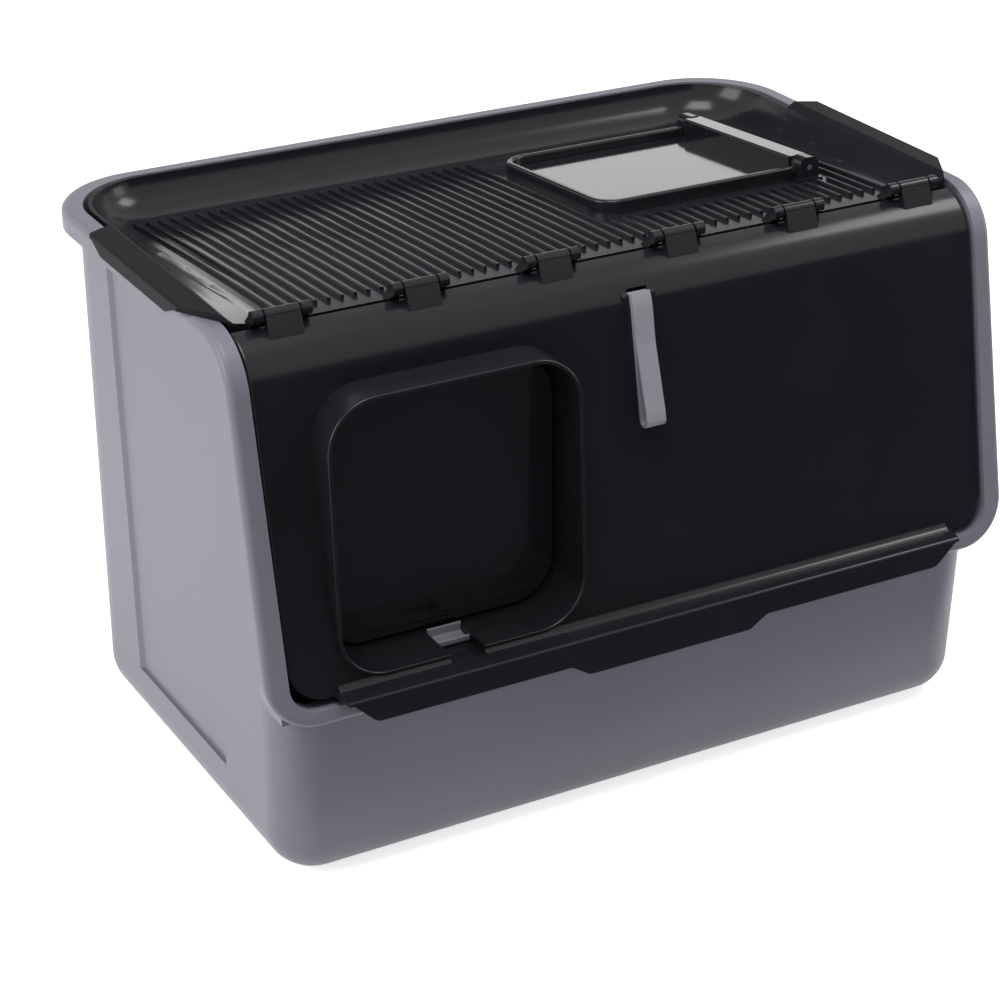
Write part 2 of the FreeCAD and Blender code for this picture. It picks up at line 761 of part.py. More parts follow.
def tray_sweep(word, side):
    """Space cut from one side of the tray, so that its floor sweeps up to the edge in one curve."""
    foot_x = TRAY_HALF - mm.tray_sweep
    sections = []
    for number, y in enumerate((-COVER_FRONT - PAST, mm.floor_middle, COVER_BACK - COVER_CORNER)):
        foot_z = floor_z(y) + mm.tray_sweep_start
        depth = mm.rim_top - foot_z
        radius = (mm.tray_sweep ** 2 + depth ** 2) / (2 * depth)
        turn = math.asin(mm.tray_sweep / radius) / 2
        middle_x = foot_x + radius * math.sin(turn)
        middle_z = foot_z + radius * (1 - math.cos(turn))
        foot, middle, edge, edge_top, foot_top = [Vector(side * x, y, z) for x, z in (
            (foot_x, foot_z),
            (middle_x, middle_z),
            (TRAY_HALF, mm.rim_top),
            (TRAY_HALF, mm.rim_top + PAST),
            (foot_x, mm.rim_top + PAST),
        )]
        wire = Part.Wire([
            Part.Arc(foot, middle, edge).toShape(),
            Part.LineSegment(edge, edge_top).toShape(),
            Part.LineSegment(edge_top, foot_top).toShape(),
            Part.LineSegment(foot_top, foot).toShape(),
        ])
        sections.append(drawn("sweep_%s_section%d" % (word, number), wire))
    solid = doc.addObject("Part::Loft", "tray_sweep_" + word)
    solid.Sections = sections
    solid.Solid = True
    return solid


def make_top_cover(hinge_pins):
    """Top cover: hollow tray with ribs, a hatch pad with its opening, grips and hinge lugs."""
    width = "%g" % (2 * FAR)
    outer = common("cover_outer", [
        prism("cover_plan", "XY", cover_plan(0, COVER_FRONT), 0.0, "Sizes.rim_top"),
        floor_block("cover_floor", -FAR, FAR, -mm.cover_sheet, 4 * PAST, -FAR, width),
    ])
    tray = common("tray_block", [
        prism("tray_plan", "XY", cover_plan(mm.cover_wall, FAR), 0.0, "Sizes.rim_top + 6 * %g" % PAST),
        floor_block("tray_floor", -COVER_FRONT - PAST, FAR, 0.0, 4 * PAST, -FAR, width),
    ])
    tray_round = fillet("tray_round", tray, mm.tray_fillet,
                        lambda point: on_floor(point) and point.y > -COVER_FRONT)
    sweeps = group("tray_sweeps", [tray_sweep(word, side) for word, side in SIDES.items()])
    shell = cut("cover_shell", cut("cover_hollow", outer, tray_round), sweeps)
    long_places, short_places = rib_places()
    short_back = POST_FRONTS["front"] - mm.post_foot - mm.rib_margin
    ribbed = fuse("cover_ribbed", [
        shell,
        copies("ribs_long", rib("rib_long", mm.rib_back), long_places),
        copies("ribs_short", rib("rib_short", short_back), short_places),
    ])
    cleared = cut("cover_cleared", ribbed, hatch_zone("hatch_clear", 0.0, "Sizes.curb_height"))
    pieces = [cleared, hatch_zone("hatch_pad", -mm.pad_depth, "Sizes.pad_depth"), hatch_curb(), hinge_lugs()]
    for word, side in SIDES.items():
        pieces += grip(word, side)
    closed = fuse("cover_closed", pieces)
    opening = hatch_outline(mm.curb_wall + mm.curb_ledge, HATCH_RIGHT - mm.spine_width - mm.curb_ledge)
    hole = tilted(prism("hatch_hole", "XY", opening, -PAST, "2 * %g" % PAST))
    return cut("top_cover", cut("cover_open", closed, hole), hinge_pins)


def post(word):
    """Hinge post of the hatch, standing on the pad."""
    front = POST_FRONTS[word]
    half = mm.post_width / 2
    sides = [
        (HATCH_AXIS_X - half, 0.0, 0.0),
        (HATCH_AXIS_X + half, 0.0, 0.0),
        (HATCH_AXIS_X + half, mm.post_height, mm.post_round),
        (HATCH_AXIS_X - half, mm.post_height, mm.post_round),
    ]
    foot_low = (HATCH_AXIS_X - half - mm.post_foot, front - mm.post_foot * (word == "front"), 0.0)
    solid = fuse("post_solid_" + word, [
        prism("post_block_" + word, "XZ", sides, front, "Sizes.post_depth"),
        box("post_foot_" + word, foot_low, (
            "Sizes.post_width + 2 * Sizes.post_foot",
            "Sizes.post_depth + Sizes.post_foot",
            "Sizes.post_foot_height",
        )),
    ])
    bore = rod("post_bore_" + word, "Y", "Sizes.hatch_pin_radius", "Sizes.post_depth + 2 * %g" % PAST,
               (HATCH_AXIS_X, front - PAST, mm.spine_axis_up))
    return tilted(cut("hatch_post_" + word, solid, bore))


def make_hatch_pin():
    start = (HATCH_AXIS_X, POST_FRONTS["front"], mm.spine_axis_up)
    length = "Sizes.hatch_length - 2 * (Sizes.curb_wall + Sizes.door_gap - Sizes.post_gap - Sizes.post_depth)"
    pin = rod("hatch_hinge_pin", "Y", "Sizes.hatch_pin_radius", length, start)
    pin.Placement = HATCH_FRAME.multiply(pin.Placement)
    return pin


def make_hatch_door():
    """Hatch door: a flat panel hung from a deep spine that turns on the hinge pin."""
    length = "Sizes.hatch_length - 2 * (Sizes.curb_wall + Sizes.door_gap)"
    spine_left = HATCH_RIGHT - mm.spine_width
    panel = prism("door_panel", "XY", hatch_outline(mm.curb_wall + mm.door_gap, spine_left + 1),
                  mm.door_lift, "Sizes.door_sheet")
    sides = [
        (spine_left, mm.door_lift, 0.0),
        (HATCH_RIGHT, mm.door_lift, mm.spine_low_round),
        (HATCH_RIGHT, mm.door_lift + mm.spine_height, mm.spine_round),
        (spine_left, mm.door_lift + mm.spine_height, mm.spine_round),
    ]
    spine = prism("door_spine", "XZ", sides, DOOR_FRONT, length)
    bore = rod("door_bore", "Y", "Sizes.hatch_pin_radius + Sizes.running_gap",
               "Sizes.hatch_length + 2 * %g" % PAST,
               (HATCH_AXIS_X, mm.hatch_front - PAST, mm.spine_axis_up))
    return tilted(cut("hatch_door", fuse("door_solid", [panel, spine]), bore))


# Levels of the front cover


def panel_half_at(height):
    return half_width_at(height) - mm.wall - mm.panel_side_gap


PANEL_HALF = panel_half_at(FRONT_RIM_HIGH)
PANEL_BACK = mm.panel_recess + mm.panel_sheet
LEDGE_TOP = FRONT_RIM_HIGH + mm.ledge_rise
LEDGE_LOW = LEDGE_TOP - mm.panel_sheet
FLANGE_FRONT = face_y(FRONT_RIM_HIGH) - mm.flange_gap - mm.panel_sheet
FLANGE_LOW = FRONT_RIM_HIGH - mm.flange_drop
ENTRY_LEFT = -PANEL_HALF + mm.entry_side
ENTRY_RIGHT = ENTRY_LEFT + mm.entry_width
ENTRY_MIDDLE = (ENTRY_LEFT + ENTRY_RIGHT) / 2
ENTRY_LOW = LEDGE_TOP + mm.entry_rise
ENTRY_HIGH = mm.rim_top - mm.entry_drop
ENTRY_BACK = -COVER_FRONT - mm.entry_reach
FLAP_FRONT = ENTRY_BACK - mm.flap_inset
AXLE_Y = FLAP_FRONT + mm.flap_sheet / 2
AXLE_Z = ENTRY_HIGH - mm.entry_wall - mm.axle_drop
TROUGH_FLOOR = ENTRY_LOW - mm.trough_drop
TROUGH_LOW = TROUGH_FLOOR - mm.trough_wall
LATCH_BACK = FLAP_FRONT - mm.latch_clear
STRAP_ANGLE = math.radians(mm.strap_angle)
STRAP_ROD_Y, STRAP_ROD_Z = bend_point(mm.panel_recess + mm.strap_rod_depth - mm.panel_sheet, STRAP_ANGLE)


def entry_outline(inset, high_corner=None):
    """Outline of the entry, moved in by inset; its upper corners can have a radius of their own."""
    left = ENTRY_LEFT + inset
    right = ENTRY_RIGHT - inset
    low = ENTRY_LOW + inset
    high = ENTRY_HIGH - inset
    corner = mm.entry_corner - inset
    high_corner = high_corner or corner
    return [(left, low, corner), (right, low, corner), (right, high, high_corner), (left, high, high_corner)]


def front_panel():
    """Curved panel that fills the mouth of the tub, with rounded outer edges."""
    shell = cut("panel_shell", behind_face("panel_outside", mm.panel_recess),
                behind_face("panel_inside", PANEL_BACK))
    high = mm.rim_top + PAST
    half_high = panel_half_at(high)
    half_low = panel_half_at(LEDGE_LOW)
    front = [
        (half_high, high, 0.0),
        (half_low, LEDGE_LOW, mm.panel_corner),
        (-half_low, LEDGE_LOW, mm.panel_corner),
        (-half_high, high, 0.0),
    ]
    window = prism("panel_front", "XZ", front, -FAR, "%g - Sizes.panel_edge_gap" % (FAR - COVER_FRONT))
    panel = common("panel_square", [shell, window])
    side = PANEL_HALF - mm.panel_corner
    return fillet("panel", panel, mm.panel_round,
                  lambda point: on_face(point, mm.panel_recess) and abs(point.x) > side)


def ledge():
    """Ledge below the panel with a hollow fillet, and the pull flange that hangs from it."""
    back = face_y(LEDGE_LOW, PANEL_BACK - mm.panel_sheet / 2)
    half_back = PANEL_HALF - mm.ledge_inset
    half_top = PANEL_HALF - mm.flange_inset
    half_low = half_top - mm.flange_slope
    tab_low = FLANGE_LOW - mm.tab_drop
    tab_half_low = mm.tab_half - mm.tab_slope
    plan = [
        (half_back, back, 0.0),
        (-half_back, back, 0.0),
        (-half_top, FLANGE_FRONT, 0.0),
        (half_top, FLANGE_FRONT, 0.0),
    ]
    flange = [
        (half_top, LEDGE_TOP, 0.0),
        (half_low, FLANGE_LOW, mm.flange_corner),
        (mm.tab_half, FLANGE_LOW, 6.0),
        (tab_half_low, tab_low, 6.0),
        (-tab_half_low, tab_low, 6.0),
        (-mm.tab_half, FLANGE_LOW, 6.0),
        (-half_low, FLANGE_LOW, mm.flange_corner),
        (-half_top, LEDGE_TOP, 0.0),
    ]
    solid = fuse("ledge_square", [
        prism("ledge_plate", "XY", plan, LEDGE_LOW, "Sizes.panel_sheet"),
        prism("flange", "XZ", flange, FLANGE_FRONT, "Sizes.panel_sheet"),
    ])
    rounded = fillet("ledge", solid, mm.flange_round,
                     lambda point: near(point.z, LEDGE_TOP) and near(point.y, FLANGE_FRONT))
    # The hollow fillet is tangent to the ledge and to the leaning panel
    corner = Vector(-half_top, face_y(LEDGE_TOP, mm.panel_recess), LEDGE_TOP)
    forward = Vector(0, -1, 0)
    upward = Vector(0, math.sin(LEAN), math.cos(LEAN))
    half_angle = forward.getAngle(upward) / 2
    reach = mm.ledge_fillet / math.tan(half_angle)
    inward = (forward + upward).normalize()
    middle = corner + inward * (mm.ledge_fillet / math.sin(half_angle) - mm.ledge_fillet)
    inside = corner - inward * (mm.panel_sheet / 2)
    on_ledge = corner + forward * reach
    on_panel = corner + upward * reach
    edges = [
        Part.Arc(on_ledge, middle, on_panel).toShape(),
        Part.LineSegment(on_panel, inside).toShape(),
        Part.LineSegment(inside, on_ledge).toShape(),
    ]
    face = drawn("ledge_fillet_profile", Part.Face(Part.Wire(edges)))
    return [rounded, extrude("ledge_fillet", face, "X", "%g" % (2 * half_top))]


def entry_tunnel():
    """Rounded tunnel whose front end stands proud of the panel."""
    lean = math.tan(math.radians(mm.collar_lean))
    low = ENTRY_LOW - PAST
    high = ENTRY_HIGH + PAST
    front_low = face_y(ENTRY_LOW, mm.panel_recess) - mm.collar_proud - PAST * lean
    collar = [
        (front_low, low, 0.0),
        (front_low + (high - low) * lean, high, 0.0),
        (ENTRY_BACK, high, 0.0),
        (ENTRY_BACK, low, 0.0),
    ]
    solid = common("tunnel_solid", [
        prism("tunnel_outside", "XZ", entry_outline(0), -FAR, "%g" % FAR),
        prism("tunnel_length", "YZ", collar, -FAR, "%g" % (2 * FAR)),
    ])
    hole = prism("tunnel_inside", "XZ", entry_outline(mm.entry_wall), -FAR, "%g" % FAR)

    def on_collar(point):
        return near(point.y, front_low + (point.z - low) * lean)

    return fillet("tunnel", cut("tunnel_square", solid, hole), mm.collar_round, on_collar), hole


def trough():
    """Trough in the tunnel floor for the latch: its solid and the space cut from it."""
    half = mm.trough_width / 2
    front = face_y(TROUGH_LOW, mm.panel_recess)
    back = FLAP_FRONT - mm.flap_frame_rise
    wall = mm.trough_wall
    solid = box("trough_solid", (ENTRY_MIDDLE - half - wall, front + wall, TROUGH_LOW), (
        "Sizes.trough_width + 2 * Sizes.trough_wall",
        "%g" % (back - front - wall),
        "Sizes.trough_drop + Sizes.trough_wall + Sizes.entry_wall / 2",
    ))
    width = "Sizes.trough_width"
    height = "Sizes.trough_drop + Sizes.entry_wall + 1"
    space = fuse("trough_space", [
        box("trough_inside", (ENTRY_MIDDLE - half, front, TROUGH_FLOOR),
            (width, "%g" % (back - wall - front), height)),
        box("trough_mouth", (ENTRY_MIDDLE - half, front - PAST / 2, LEDGE_TOP), (width, "%g" % PAST, height)),
        box("latch_slot", (
            ENTRY_MIDDLE - half + mm.latch_stem_inset,
            LATCH_BACK - mm.latch_sheet - mm.latch_gap,
            TROUGH_LOW - 1,
        ), (
            "Sizes.trough_width - 2 * Sizes.latch_stem_inset",
            "Sizes.latch_sheet + 2 * Sizes.latch_gap",
            "Sizes.trough_wall + 2",
        )),
    ])
    return solid, space


def make_flap_latch():
    """Latch: a blade with a thumb lip in the trough and a hooked stem through its floor."""
    half = mm.trough_width / 2 - mm.latch_gap
    low = TROUGH_FLOOR + mm.latch_gap
    front = LATCH_BACK - mm.latch_sheet
    lip_front = LATCH_BACK - mm.latch_reach
    sheet_high = low + mm.latch_sheet
    profile = [
        (LATCH_BACK, low, 0.0),
        (LATCH_BACK, low + mm.latch_rise, 0.6),
        (front, low + mm.latch_rise, 0.6),
        (front, sheet_high, 2.0),
        (lip_front + mm.latch_sheet, sheet_high, 2.0),
        (lip_front + mm.latch_sheet, low + mm.latch_lip, 0.6),
        (lip_front, low + mm.latch_lip, 0.6),
        (lip_front, low, 2.0),
    ]
    hook_high = TROUGH_LOW - mm.latch_gap - mm.latch_travel
    hook_low = hook_high - mm.latch_sheet
    stem = [
        (front, low + mm.latch_sheet / 2, 0.0),
        (front, hook_low, 0.0),
        (LATCH_BACK + mm.latch_hook, hook_low, 0.0),
        (LATCH_BACK + mm.latch_hook, hook_high, 0.0),
        (LATCH_BACK, hook_high, 0.0),
        (LATCH_BACK, low + mm.latch_sheet / 2, 0.0),
    ]
    stem_half = mm.trough_width / 2 - mm.latch_stem_inset - mm.latch_gap
    return fuse("flap_latch", [
        prism("latch_body", "YZ", profile, ENTRY_MIDDLE - half, "Sizes.trough_width - 2 * Sizes.latch_gap"),
        prism("latch_stem", "YZ", stem, ENTRY_MIDDLE - stem_half,
              "Sizes.trough_width - 2 * Sizes.latch_stem_inset - 2 * Sizes.latch_gap"),
    ])


def make_flap_axle():
    return rod("flap_axle", "X", "Sizes.axle_radius", "Sizes.entry_width - 2 * Sizes.axle_inset",
               (ENTRY_LEFT + mm.axle_inset, AXLE_Y, AXLE_Z))


def make_entry_flap():
    """Flap: a plate with a raised frame and a barrel that turns on the axle."""
    edge = mm.entry_wall + mm.flap_gap
    frame_start = FLAP_FRONT - mm.flap_frame_rise
    outside = entry_outline(edge, mm.flap_corner)
    inside = entry_outline(edge + mm.flap_frame, mm.flap_corner - mm.flap_frame)
    frame = cut("flap_frame",
                prism("flap_frame_outside", "XZ", outside, frame_start, "Sizes.flap_frame_rise + 1"),
                prism("flap_frame_inside", "XZ", inside, frame_start - 1, "Sizes.flap_frame_rise + 3"))
    start = (ENTRY_LEFT + mm.flap_barrel_inset, AXLE_Y, AXLE_Z)
    length = "Sizes.entry_width - 2 * Sizes.flap_barrel_inset"
    solid = fuse("flap_solid", [
        prism("flap_plate", "XZ", outside, FLAP_FRONT, "Sizes.flap_sheet"),
        frame,
        rod("flap_barrel", "X", "Sizes.flap_barrel", length, start),
    ])
    bore = rod("flap_bore", "X", "Sizes.axle_radius + Sizes.running_gap", "Sizes.entry_width",
               (ENTRY_LEFT, AXLE_Y, AXLE_Z))
    return cut("entry_flap", solid, bore)


def hinge_clips():
    """Clips on the front cover: a barrel on each stub pin and a plate down to the panel."""
    left = -mm.clip_width / 2
    root_y = HINGE_Y - mm.clip_reach
    root_angle = math.acos((BEND_Y - root_y) / (mm.rim_bend - mm.panel_recess))
    root = Vector(0, *bend_point(mm.panel_recess + mm.panel_sheet / 2, root_angle))
    axis = Vector(0, HINGE_Y, HINGE_Z)
    along = (root - axis).normalize()
    outward = Vector(0, along.z, -along.y)
    half = mm.clip_sheet / 2
    points = [
        axis + outward * mm.knuckle_radius,
        root + outward * half,
        root - outward * half,
        axis - outward * half,
    ]
    plate = [(point.y, point.z, 0.0) for point in points]
    clip = fuse("hinge_clip", [
        prism("clip_plate", "YZ", plate, left, "Sizes.clip_width"),
        rod("clip_barrel", "X", "Sizes.knuckle_radius", "Sizes.clip_width", (left, HINGE_Y, HINGE_Z)),
    ])
    bore = rod("clip_bore", "X", "Sizes.pin_radius + Sizes.running_gap", "Sizes.clip_width + 2",
               (left - 1, HINGE_Y, HINGE_Z))
    return copies("hinge_clips", clip, HINGE_PLACES), copies("clip_bores", bore, HINGE_PLACES)


def make_strap_rod():
    length = "Sizes.strap_width + 2 * Sizes.strap_boss_width"
    start = (mm.strap_x - mm.strap_width / 2 - mm.strap_boss_width, STRAP_ROD_Y, STRAP_ROD_Z)
    return rod("strap_rod", "X", "Sizes.strap_rod_radius", length, start)


def strap_holder():
    """Slot in the panel for the strap, and the bosses that carry the rod."""
    half = mm.strap_width / 2 + mm.strap_gap
    radius = mm.rim_bend - mm.panel_recess
    low = STRAP_ANGLE - mm.strap_slot_low / radius
    high = STRAP_ANGLE + mm.strap_slot_high / radius
    sector = [(*bend_point(depth, angle), 0.0) for depth, angle in (
        (-PAST / 4, low),
        (-PAST / 4, high),
        (PAST, high),
        (PAST, low),
    )]
    slot = prism("strap_slot", "YZ", sector, mm.strap_x - half, "Sizes.strap_width + 2 * Sizes.strap_gap")
    bosses = []
    for word, start in (("left", mm.strap_x - half - mm.strap_boss_width), ("right", mm.strap_x + half)):
        bosses.append(rod("strap_boss_" + word, "X", "Sizes.strap_rod_boss", "Sizes.strap_boss_width",
                          (start, STRAP_ROD_Y, STRAP_ROD_Z)))
    return slot, bosses


def make_pull_strap():
    """Strap folded to a loop: it hangs along the panel from an eye on its rod."""
    left = mm.strap_x - mm.strap_width / 2
    width = "Sizes.strap_width"
    near_face = mm.panel_recess - mm.strap_gap
    far_face = near_face - 2 * mm.strap_sheet
    bend_middle = (STRAP_ANGLE + LEAN) / 2
    top = STRAP_ANGLE + mm.strap_sheet / mm.rim_bend
    start_y, start_z = bend_point(mm.panel_recess, LEAN)

    def hanging(down, out):
        """Point below the bend: a distance down the panel and a distance out from it."""
        y = start_y - down * math.sin(LEAN) - out * math.cos(LEAN)
        z = start_z - down * math.cos(LEAN) + out * math.sin(LEAN)
        return y, z

    def arc(depth):
        points = [Vector(left, *bend_point(depth, angle)) for angle in (LEAN, bend_middle, top)]
        return Part.Arc(*points).toShape(), points[0], points[2]

    inner, inner_low, inner_high = arc(near_face)
    outer, outer_low, outer_high = arc(far_face)
    edges = [
        inner,
        Part.LineSegment(inner_high, outer_high).toShape(),
        outer,
        Part.LineSegment(outer_low, inner_low).toShape(),
    ]
    bent = extrude("strap_bent", drawn("strap_bent_profile", Part.Face(Part.Wire(edges))), "X", width)
    layers = 2 * mm.strap_sheet
    gap = mm.strap_gap
    drop = mm.strap_drop
    fold_start = drop - mm.strap_fold_length
    fold = mm.strap_fold
    round_out = fold / 2 - 0.2
    round_in = round_out - mm.strap_sheet
    straight = [(*hanging(-0.01, gap), 0.0), (*hanging(fold_start, gap), 0.0),
                (*hanging(fold_start, gap + layers), 0.0), (*hanging(-0.01, gap + layers), 0.0)]
    loop = [
        (*hanging(fold_start - 1, gap), 0.0),
        (*hanging(drop, gap), round_out),
        (*hanging(drop, gap + fold), round_out),
        (*hanging(drop - fold, gap + fold), round_out),
        (*hanging(fold_start, gap + layers), 0.0),
        (*hanging(fold_start - 1, gap + layers), 0.0),
    ]
    sheet_in = mm.strap_sheet
    eye = [
        (*hanging(fold_start + 2 * sheet_in, gap + sheet_in), 0.0),
        (*hanging(drop - sheet_in, gap + sheet_in), round_in),
        (*hanging(drop - sheet_in, gap + fold - sheet_in), round_in),
        (*hanging(drop - fold, gap + fold - sheet_in), round_in),
    ]
    # The neck reaches through the slot to the eye on the rod
    neck_half = 0.8 * mm.strap_sheet
    radial = Vector(0, -math.cos(STRAP_ANGLE), math.sin(STRAP_ANGLE))
    across = Vector(0, math.sin(STRAP_ANGLE), math.cos(STRAP_ANGLE)) * neck_half
    inside = Vector(0, STRAP_ROD_Y, STRAP_ROD_Z)
    outside = inside + radial * (mm.strap_rod_depth - mm.panel_sheet + mm.strap_gap + mm.strap_sheet)
    ends = (inside - across, inside + across, outside + across, outside - across)
    neck = [(point.y, point.z, 0.0) for point in ends]
    solid = fuse("strap_solid", [
        bent,
        prism("strap_straight", "YZ", straight, left, width),
        cut("strap_loop", prism("strap_loop_solid", "YZ", loop, left, width),
            prism("strap_loop_space", "YZ", eye, left - 1, "Sizes.strap_width + 2")),
        prism("strap_neck", "YZ", neck, left, width),
        rod("strap_eye", "X", "Sizes.strap_rod_radius + 0.8 * Sizes.strap_sheet", width,
            (left, STRAP_ROD_Y, STRAP_ROD_Z)),
    ])
    bore = rod("strap_bore", "X", "Sizes.strap_rod_radius + Sizes.running_gap", "Sizes.strap_width + 2",
               (left - 1, STRAP_ROD_Y, STRAP_ROD_Z))
    return cut("pull_strap", solid, bore)


def stop_pads():
    """Pads under the ledge that seat on the front rim."""
    low = FRONT_RIM_HIGH + mm.seat_gap
    back = face_y(LEDGE_LOW, PANEL_BACK)
    height = "Sizes.ledge_rise - Sizes.panel_sheet - Sizes.seat_gap + 1"
    pads = []
    for word, side in SIDES.items():
        start = side * (PANEL_HALF - 2 * mm.ledge_inset) - mm.stop_width / 2
        pads.append(box("stop_" + word, (start, back - mm.stop_depth, low),
                        ("Sizes.stop_width", "Sizes.stop_depth", height)))
    return pads


def make_front_cover(axle, strap_rod):
    """Front cover: panel, ledge, flange, entry tunnel with its trough, hinge clips and strap bosses."""
    tunnel, tunnel_hole = entry_tunnel()
    trough_solid, trough_space = trough()
    clips, clip_bores = hinge_clips()
    slot, bosses = strap_holder()
    skin = cut("front_skin", fuse("front_skin_closed", [front_panel()] + ledge()), tunnel_hole)
    slotted = cut("front_slotted", skin, slot)
    solid = fuse("front_solid", [slotted, tunnel, trough_solid, clips] + bosses + stop_pads())
    notched = cut("front_notched", solid, trough_space)
    return cut("front_cover", notched, group("front_bores", [clip_bores, axle, strap_rod]))


hinge_pins = make_hinge_pins()
flap_axle = make_flap_axle()
strap_rod = make_strap_rod()
NODES = {
    **make_tub(),
    "top_cover": make_top_cover(hinge_pins),
    "front_cover": make_front_cover(flap_axle, strap_rod),
    "front_hinge_pins": hinge_pins,
    "entry_flap": make_entry_flap(),
    "flap_axle": flap_axle,
    "flap_latch": make_flap_latch(),
    "pull_strap": make_pull_strap(),
    "strap_rod": strap_rod,
    "hatch_door": make_hatch_door(),
    "hatch_hinge_pin": make_hatch_pin(),
    "hatch_post_front": post("front"),
    "hatch_post_rear": post("rear"),
}

doc.recompute()
failed = [item.Name for item in doc.Objects if "Invalid" in item.State or "Error" in item.State]
if failed:
    raise RuntimeError("failed objects: " + ", ".join(failed))
for node, item in NODES.items():
    item.Label = node
    if item.Shape.isNull() or not item.Shape.isValid():
        raise RuntimeError("bad shape: " + node)

os.makedirs("parts", exist_ok=True)
for node, item in NODES.items():
    item.Shape.exportStep("parts/%s.step" % node)
    bounds = item.Shape.optimalBoundingBox()
    print("%-18s %d solids %8.1f cm3  x %.1f..%.1f  y %.1f..%.1f  z %.1f..%.1f" % (
        node, len(item.Shape.Solids), item.Shape.Volume / 1000,
        bounds.XMin, bounds.XMax, bounds.YMin, bounds.YMax, bounds.ZMin, bounds.ZMax))
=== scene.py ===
import json
import math

import bpy
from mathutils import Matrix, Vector

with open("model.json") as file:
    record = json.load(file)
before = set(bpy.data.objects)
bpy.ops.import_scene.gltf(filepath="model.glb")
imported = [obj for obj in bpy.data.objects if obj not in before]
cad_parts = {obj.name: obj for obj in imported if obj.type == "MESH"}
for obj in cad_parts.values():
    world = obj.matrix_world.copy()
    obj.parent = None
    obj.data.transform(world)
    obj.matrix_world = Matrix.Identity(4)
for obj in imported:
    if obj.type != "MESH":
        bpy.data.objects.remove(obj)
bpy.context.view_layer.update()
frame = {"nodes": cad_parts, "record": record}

# Covered litter box on a white studio floor. Metres, +Z up, front towards -Y.
MM = 0.001
# Beyond this distance from the middle, the top cover is a lifting grip
GRIP_START = 0.2795
# Edges sharper than this stay sharp in the shading
SHARP_ANGLE = math.radians(30)
WHITE = "#FFFFFF"
# Brightness of the surroundings where they are seen or mirrored, and as a fill light on surfaces
SEEN_STRENGTH = 1.0
FILL_STRENGTH = 0.2
# Glow that lifts the lit paper to white where it is seen
PAPER_GLOW = 0.72

scene = bpy.context.scene
NODES = frame["nodes"]


def linear(code):
    """Linear colour of an sRGB hex code."""
    channels = [int(code[start:start + 2], 16) / 255 for start in (1, 3, 5)]
    return [c / 12.92 if c <= 0.04045 else ((c + 0.055) / 1.055) ** 2.4 for c in channels] + [1.0]


def add(tree, kind, links=None, inputs=None, **settings):
    """Add one node with its settings, its constant inputs and its incoming links."""
    node = tree.nodes.new("ShaderNode" + kind)
    for name, value in settings.items():
        setattr(node, name, value)
    for name, value in (inputs or {}).items():
        node.inputs[name].default_value = value
    for name, source in (links or {}).items():
        tree.links.new(source, node.inputs[name])
    return node


def new_material(name):
    """Empty material and its node tree."""
    material = bpy.data.materials.new(name)
    material.use_nodes = True
    material.node_tree.nodes.clear()
    return material, material.node_tree


def per_mm(size):
    """Scale of a noise, in object metres, whose blobs are about size millimetres across."""
    return 1 / (size * MM)


def moulded(name, colours, roughness, specular, grain_mm, waves_mm, drift_mm, wear=0.5):
    """Moulded plastic: slow colour drift, flow marks in the gloss, mould grain, waves and rubbed edges.

    colours: darkest, lightest and worn. grain_mm and waves_mm: width and depth of each, in millimetres.
    """
    dark, light, worn = colours
    grain_size, grain_depth = grain_mm
    wave_size, wave_depth = waves_mm
    material, tree = new_material(name)
    place = add(tree, "TexCoord").outputs["Object"]
    drift = add(tree, "TexNoise", {"Vector": place}, {"Scale": per_mm(drift_mm), "Detail": 3.0})
    body = add(tree, "ValToRGB", {"Fac": drift.outputs["Fac"]})
    body.color_ramp.elements[0].position = 0.3
    body.color_ramp.elements[0].color = linear(dark)
    body.color_ramp.elements[1].position = 0.7
    body.color_ramp.elements[1].color = linear(light)

    # Rubbed edges: where the rounded normal of an edge leaves the flat one, broken up by scuffs
    rounded = add(tree, "Bevel", inputs={"Radius": 0.9 * MM}, samples=4)
    flat = add(tree, "NewGeometry")
    facing = add(tree, "VectorMath", {0: rounded.outputs["Normal"], 1: flat.outputs["Normal"]},
                 operation="DOT_PRODUCT")
    edge = add(tree, "MapRange", {"Value": facing.outputs["Value"]},
               {"From Min": 0.995, "From Max": 0.85, "To Max": wear})
    scuffs = add(tree, "TexNoise", {"Vector": place}, {"Scale": per_mm(14), "Detail": 4.0})
    rubbed = add(tree, "Math", {0: edge.outputs["Result"], 1: scuffs.outputs["Fac"]}, operation="MULTIPLY")
    colour = add(tree, "Mix", {0: rubbed.outputs["Value"], 6: body.outputs["Color"]}, {7: linear(worn)},
                 data_type="RGBA")

    gloss = add(tree, "MapRange", {"Value": drift.outputs["Fac"]},
                {"To Min": roughness[0], "To Max": roughness[1]})
    waves = add(tree, "TexNoise", {"Vector": place}, {"Scale": per_mm(wave_size), "Detail": 1.0})
    swell = add(tree, "Bump", {"Height": waves.outputs["Fac"]},
                {"Strength": 1.0, "Distance": wave_depth * MM})
    grain = add(tree, "TexNoise", {"Vector": place}, {"Scale": per_mm(grain_size), "Detail": 2.0})
    skin = add(tree, "Bump", {"Height": grain.outputs["Fac"], "Normal": swell.outputs["Normal"]},
               {"Strength": 1.0, "Distance": grain_depth * MM})
    shader = add(tree, "BsdfPrincipled", {
        "Base Color": colour.outputs[2],
        "Roughness": gloss.outputs["Result"],
        "Normal": skin.outputs["Normal"],
    }, {"Specular IOR Level": specular})
    add(tree, "OutputMaterial", {"Surface": shader.outputs["BSDF"]})
    return material


